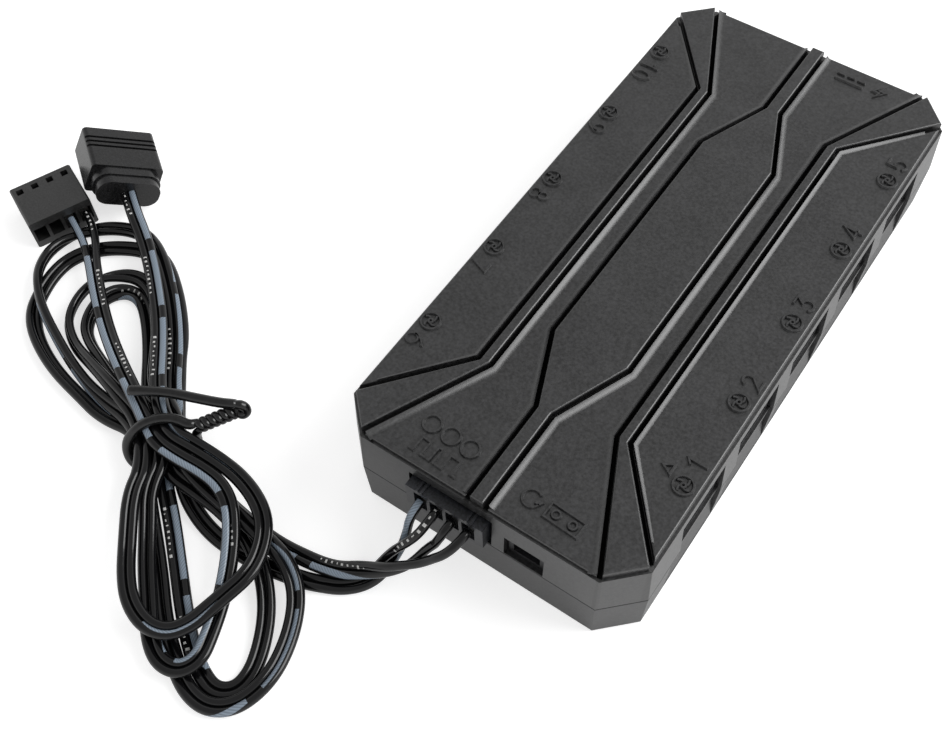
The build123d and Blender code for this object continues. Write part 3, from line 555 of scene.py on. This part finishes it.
def spline_line(name, route):
    """Points along the quadratic NURBS spline with the route's control points in mm, from its curve made a mesh."""
    curve = bpy.data.curves.new(name, "CURVE")
    curve.dimensions = "3D"
    curve.resolution_u = 12
    spline = curve.splines.new("NURBS")
    spline.points.add(len(route) - 1)
    for point, place in zip(spline.points, route):
        point.co = (*(MM * c for c in place), 1.0)
    spline.order_u = 3
    spline.use_endpoint_u = True
    holder = bpy.data.objects.new(name, curve)
    mesh = bpy.data.meshes.new_from_object(holder)
    line = np.empty(len(mesh.vertices) * 3)
    mesh.vertices.foreach_get("co", line)
    bpy.data.objects.remove(holder)
    bpy.data.curves.remove(curve)
    bpy.data.meshes.remove(mesh)
    line = line.reshape(-1, 3)
    return line[np.r_[True, np.linalg.norm(np.diff(line, axis=0), axis=1) > 1e-7]]


def line_frame(line, reference):
    """Length along a line, its tangents, and the sides and ups across it.

    A side is the tangent times the reference, and an up is the side times the tangent, as cross products.
    """
    along = np.r_[0, np.cumsum(np.linalg.norm(np.diff(line, axis=0), axis=1))]
    tangent = np.gradient(line, along, axis=0)
    tangent /= np.linalg.norm(tangent, axis=1, keepdims=True)
    side = np.cross(tangent, reference)
    side /= np.linalg.norm(side, axis=1, keepdims=True)
    return along, tangent, side, np.cross(side, tangent)


def tube(centre, side, up, radius, along, turn, segments):
    """A round tube as a grid: ring k is centre[k] + radius[k] (side[k] cos a + up[k] sin a), for angles a round it.

    U is the length along in metres, and V the angle in turns less the turn of the stripe there.
    """
    angle = np.linspace(0, 2 * np.pi, segments, endpoint=False)
    ring = np.cos(angle)[None, :, None] * side[:, None] + np.sin(angle)[None, :, None] * up[:, None]
    points = (centre[:, None] + ring * np.asarray(radius)[:, None, None]).reshape(-1, 3)
    k, j = (grid.ravel() for grid in np.meshgrid(np.arange(len(centre) - 1), np.arange(segments), indexing="ij"))
    a, b = k * segments + j, k * segments + (j + 1) % segments
    faces = np.c_[a, a + segments, b + segments, b]
    u = np.c_[along[k], along[k + 1], along[k + 1], along[k]]
    v = np.c_[j, j, j + 1, j + 1] / segments - np.c_[turn[k], turn[k + 1], turn[k + 1], turn[k]]
    return points, faces, np.dstack([u, v]).reshape(-1, 2)


def smooth_piece(name, points, faces, uv, slots, materials):
    """A smooth-shaded piece from arrays of points, quads, corner UVs and each quad's material."""
    mesh = bpy.data.meshes.new(name)
    mesh.from_pydata(points, [], faces)
    layer = mesh.uv_layers.new(name="along")
    layer.data.foreach_set("uv", uv.astype(np.float32).ravel())
    for material in materials:
        mesh.materials.append(material)
    mesh.polygons.foreach_set("material_index", slots.astype(np.int32))
    mesh.polygons.foreach_set("use_smooth", np.ones(len(faces), bool))
    mesh.update()
    piece = bpy.data.objects.new(name, mesh)
    scene.collection.objects.link(piece)
    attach(piece, "root")
    return piece


def twin_cable(name, passes, spread_start, spread_end, striped_side):
    """Two round wires side by side along a route's spline, rolled about it by each pass's angle.

    A wire's centre is the line plus or minus its offset along the rolled side. The offset is half the bonded pitch,
    and opens over the last 12 mm at an end to half the pitch of the plug's bays.
    """
    opening = 12 * MM
    blend = 19
    route = [point for *_, points in passes for point in points]
    counts = [len(points) for *_, points in passes]
    line = spline_line(name + "_line", route)
    along, _, side, up = line_frame(line, (0, 0, 1.0))
    spot = np.linspace(0, len(route) - 2, len(line))
    knots = np.clip(np.arange(len(route)) - 0.5, 0, len(route) - 2)
    window = np.hanning(2 * blend + 1)
    window /= window.sum()
    steps = [np.interp(spot, knots, np.repeat([p[n] for p in passes], counts)) for n in range(3)]
    roll, stripe_turn, print_turn = (np.convolve(np.pad(step, blend, "edge"), window, "valid") for step in steps)
    roll = np.radians(roll)
    rolled = side * np.cos(roll)[:, None] + up * np.sin(roll)[:, None]
    near = np.clip(1 - along / opening, 0, 1)
    far = np.clip(1 - (along[-1] - along) / opening, 0, 1)
    offset = bond + near**2 * (3 - 2 * near) * (spread_start - bond)
    offset += far**2 * (3 - 2 * far) * (spread_end - bond)
    radius = np.full(len(line), wire_diameter / 2)
    shift = rolled * offset[:, None] * striped_side
    striped = tube(line + shift, side, up, radius, along, stripe_turn, wire_segments)
    printed = tube(line - shift, side, up, radius, along, print_turn, wire_segments)
    points = np.vstack([striped[0], printed[0]])
    faces = np.vstack([striped[1], printed[1] + len(striped[0])])
    slots = np.repeat([0, 1], [len(striped[1]), len(printed[1])])
    uv = np.vstack([striped[2], printed[2]])
    piece = smooth_piece(name, points, faces, uv, slots, [striped_wire, printed_wire])
    return piece, line, along[-1]


def wire_material(name, mark_colour):
    """Glossy black PVC, slightly wavy: the material, its tree, length and turn from the UV, and the mark's share."""
    black = (0.003, 0.003, 0.0034, 1.0)
    material, tree, shader = new_finish(name)
    shader.inputs["Specular IOR Level"].default_value = 0.42
    uv = place_node(tree, "ShaderNodeUVMap", uv_map="along")
    split = place_node(tree, "ShaderNodeSeparateXYZ", {0: uv.outputs["UV"]})
    place = place_node(tree, "ShaderNodeTexCoord")
    noise = place_node(tree, "ShaderNodeTexNoise", {"Vector": place.outputs["Object"], "Scale": 420.0, "Detail": 3.0})
    wave = noise.outputs["Fac"]
    dullness = ramp(tree, wave, 0.0, 1.0, 0.06, 0.18)
    bump = place_node(tree, "ShaderNodeBump", {"Height": wave, "Strength": 0.3, "Distance": 0.0001})
    tint = place_node(tree, "ShaderNodeMix", {6: black, 7: (*mark_colour, 1.0)}, data_type="RGBA")
    coat(tree, shader, tint, dullness, bump)
    return material, tree, split.outputs["X"], split.outputs["Y"], tint.inputs[0]


def near_top(tree, turn, half):
    """One where the turn is within the half width of the top, a quarter turn round, and nought outside it."""
    top, blur = 0.25, 0.012
    share = math(tree, "SUBTRACT", math(tree, "FRACT", turn), top)
    return ramp(tree, math(tree, "ABSOLUTE", share), half + blur, half - blur)


# The striped wire: long pale dashes with short gaps, finely hatched as a roller prints them.
striped_wire, tree, along_wire, turn_wire, mark = wire_material("striped_wire", (0.23, 0.28, 0.34))
dash_pitch = 0.0135
dash_share = 0.82
dash_half = 0.125
hatch_pitch = 0.0005
hatch_twist = 9.0
radians_a_turn = 6.2832
dash = math(tree, "LESS_THAN", math(tree, "FRACT", math(tree, "DIVIDE", along_wire, dash_pitch)), dash_share)
stripe = math(tree, "MULTIPLY", near_top(tree, turn_wire, dash_half), dash)
hatch_phase = math(tree, "MULTIPLY_ADD", turn_wire, hatch_twist, math(tree, "DIVIDE", along_wire, hatch_pitch))
hatch_wave = math(tree, "SINE", math(tree, "MULTIPLY", hatch_phase, radians_a_turn))
hatch = math(tree, "MULTIPLY_ADD", hatch_wave, 0.2, 0.8)
tree.links.new(math(tree, "MULTIPLY", stripe, hatch), mark)

# The printed wire: groups of short white ticks of uneven length, which mark off its length.
printed_wire, tree, along_wire, turn_wire, mark = wire_material("printed_wire", (0.5, 0.5, 0.49))
tick_pitch = 0.0009
group_pitch = 0.0162
tick_spot = math(tree, "DIVIDE", along_wire, tick_pitch)
chance = place_node(tree, "ShaderNodeTexWhiteNoise", {"W": math(tree, "FLOOR", tick_spot)}, noise_dimensions="1D")
shade = place_node(tree, "ShaderNodeSeparateColor", {"Color": chance.outputs["Color"]})
tick_half = math(tree, "MULTIPLY_ADD", shade.outputs["Red"], 0.05, 0.02)
tick_wide = math(tree, "MULTIPLY_ADD", shade.outputs["Green"], 0.3, 0.2)
row = math(tree, "MULTIPLY_ADD", shade.outputs["Blue"], 0.05, 0.225)
tick = math(tree, "LESS_THAN", math(tree, "FRACT", tick_spot), tick_wide)
off_row = math(tree, "ABSOLUTE", math(tree, "SUBTRACT", math(tree, "FRACT", turn_wire), row))
grouped = math(tree, "LESS_THAN", math(tree, "FRACT", math(tree, "DIVIDE", along_wire, group_pitch)), 0.5)
on_row = math(tree, "LESS_THAN", off_row, tick_half)
tree.links.new(math(tree, "MULTIPLY", math(tree, "MULTIPLY", tick, on_row), grouped), mark)

fan_cable, fan_line, fan_length = twin_cable("fan_cable", fan_passes, hub_spread, fan_spread, -1)
light_cable, light_line, light_length = twin_cable("light_cable", light_passes, hub_spread, bond, 1)
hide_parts("lead_cord_1", "fan_tail_cord", "cord_hank")
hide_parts("lead_cord_2", "light_tail_cord", "cord_hank")

# Wire tie: one plastic-coated wire goes round the waist of the cables, its two ends are twisted together three
# turns, one is cut at the twist and the other is hooked back and lies over the cables with an open cut end.
waist = np.array([-46.7, -59.6])
across = np.array([0.629, 0.777])
lengthwise = np.array([-0.777, 0.629])
tie_radius = 0.75 * MM
tie_segments = 20
twist_radius = 0.56 * MM
thin_from, thin_to = 4.9, 12.4
free_length = 0.0155
bore = 0.35 * MM
bore_shares = (0, 0.55, 0.6)
tie_free = [(-2.4, 6.9, 8.4), (0.2, 5.9, 8.5), (3.0, 4.7, 8.6), (6.6, 2.6, 8.6), (9.6, 1.0, 8.4), (11.4, 0.3, 8.3),
            (12.8, -0.1, 7.8), (13.0, -0.5, 6.7), (12.0, -0.6, 6.3)]
tie_ring = [(4.7, -0.4, 6.9), (3.6, 0.5, 7.5), (1.8, 1.2, 7.9), (-0.6, 1.5, 7.7), (-2.8, 1.3, 6.7), (-4.4, 0.9, 4.9),
            (-4.9, 0.2, 3.0), (-4.6, -0.7, 1.4), (-3.4, -1.3, 0.8), (-1.0, -1.5, 0.78), (2.0, -1.3, 0.8),
            (4.2, -1.0, 1.4), (5.1, -0.8, 3.0), (5.2, -0.8, 4.8)]
tie_end = [(11.8, 0.5, 7.3), (12.3, 0.9, 7.6)]
twist_start, twist_end = 5.8, 11.2
twist_spot = np.linspace(0, 1, 37)
twist_angle = 2 * np.pi * 3 * twist_spot


def twist_strand(phase):
    """A helix about the twist's line: three turns of 0.6 mm radius, their middle rising slightly towards the end."""
    wound = twist_angle + phase
    return np.c_[
        twist_start + (twist_end - twist_start) * twist_spot, -0.7 + 0.6 * twist_spot + 0.6 * np.cos(wound),
        6.5 + 0.4 * twist_spot + 0.6 * np.sin(wound),
    ]


tie_local = np.vstack([tie_free, twist_strand(0.6)[::-1], tie_ring, twist_strand(0.6 + np.pi), tie_end])
tie_route = np.c_[waist + tie_local[:, :1] * across + tie_local[:, 1:2] * lengthwise, tie_local[:, 2]]
tie_line = spline_line("twist_tie_line", tie_route)
local_u = (tie_line[:, :2] / MM - waist) @ across
along, tangent, side, up = line_frame(tie_line, (*lengthwise, 0.0))
thin = np.clip(local_u - thin_from, 0, 1) * np.clip(thin_to - local_u, 0, 1)
thin = np.where(along < free_length, 0, thin)
radius = tie_radius + (twist_radius - tie_radius) * thin**2 * (3 - 2 * thin)
first, last = tie_line[0], tie_line[-1]
centre = np.vstack([first + bore * tangent[0], first + bore * tangent[0], first, tie_line, last])
ring_radius = np.r_[np.multiply(bore_shares, tie_radius), radius, 0]
pick = np.r_[0, 0, 0, np.arange(len(tie_line)), len(tie_line) - 1]
tie_points, tie_faces, tie_uv = tube(
    centre, side[pick], up[pick], ring_radius, along[pick], np.zeros(len(pick)), tie_segments
)
tie_sleeve = moulded("tie_sleeve", (0.003, 0.003, 0.0032), 0.16, 1500.0, 0.000004, 0.5)
tie = smooth_piece("wire_tie", tie_points, tie_faces, tie_uv, np.zeros(len(tie_faces)), [tie_sleeve])
joined = bmesh.new()
joined.from_mesh(tie.data)
bmesh.ops.remove_doubles(joined, verts=joined.verts, dist=1e-7)
joined.to_mesh(tie.data)
joined.free()
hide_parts("twist_tie")

# Floor and light: a white table top, one soft box on the right, and white walls round it under a dim ceiling.
# What the camera sees of the floor is lifted to white, and the shadow stays on it.
floor_reach = 20.0
floor_colour = (0.65, 0.65, 0.65, 1.0)
floor_lift = 0.64
white = (1.0, 1.0, 1.0, 1.0)
wall_light, ceiling_light = 1.0, 0.48
floor_mesh = bpy.data.meshes.new("floor")
floor_corners = [(floor_reach * x, floor_reach * y, 0) for x, y in ((-1, -1), (1, -1), (1, 1), (-1, 1))]
floor_mesh.from_pydata(floor_corners, [], [(0, 1, 2, 3)])
floor_piece = bpy.data.objects.new("floor", floor_mesh)
scene.collection.objects.link(floor_piece)


def seen_by_eye(tree):
    """One for rays from the camera and through clear things, and half for those that gloss passes on."""
    path = place_node(tree, "ShaderNodeLightPath")
    half_gloss = math(tree, "MULTIPLY", path.outputs["Is Glossy Ray"], 0.5)
    seen = math(tree, "MAXIMUM", path.outputs["Is Camera Ray"], half_gloss)
    return math(tree, "MAXIMUM", seen, path.outputs["Is Transmission Ray"])


floor_paint, floor_tree, floor_shader = new_finish("floor_paint")
floor_shader.inputs["Base Color"].default_value = floor_colour
floor_shader.inputs["Roughness"].default_value = 0.9
floor_shader.inputs["Specular IOR Level"].default_value = 0.0
floor_shader.inputs["Emission Color"].default_value = white
lifted = math(floor_tree, "MULTIPLY", seen_by_eye(floor_tree), floor_lift)
floor_tree.links.new(lifted, floor_shader.inputs["Emission Strength"])
floor_mesh.materials.append(floor_paint)

world = bpy.data.worlds.new("world")
scene.world = world
world.use_nodes = True
surround = world.node_tree.nodes["Background"]
surround.inputs["Color"].default_value = white
look = place_node(world.node_tree, "ShaderNodeTexCoord")
height = place_node(world.node_tree, "ShaderNodeSeparateXYZ", {0: look.outputs["Generated"]})
wall_to_ceiling = ramp(world.node_tree, height.outputs["Z"], 0.2, 0.75, wall_light, ceiling_light)
world.node_tree.links.new(wall_to_ceiling, surround.inputs["Strength"])


def soft_box(name, place, aim, size, power):
    """A square soft box at a place, turned to face the aim."""
    lamp_data = bpy.data.lights.new(name, "AREA")
    lamp_data.size = size
    lamp_data.energy = power
    lamp = bpy.data.objects.new(name, lamp_data)
    facing = (Vector(aim) - Vector(place)).to_track_quat("-Z", "Y")
    lamp.matrix_world = Matrix.Translation(place) @ facing.to_matrix().to_4x4()
    scene.collection.objects.link(lamp)


soft_box("right_box", (0.70, 0.54, 0.74), (-0.03, -0.02, 0.0), 0.85, 12.0)
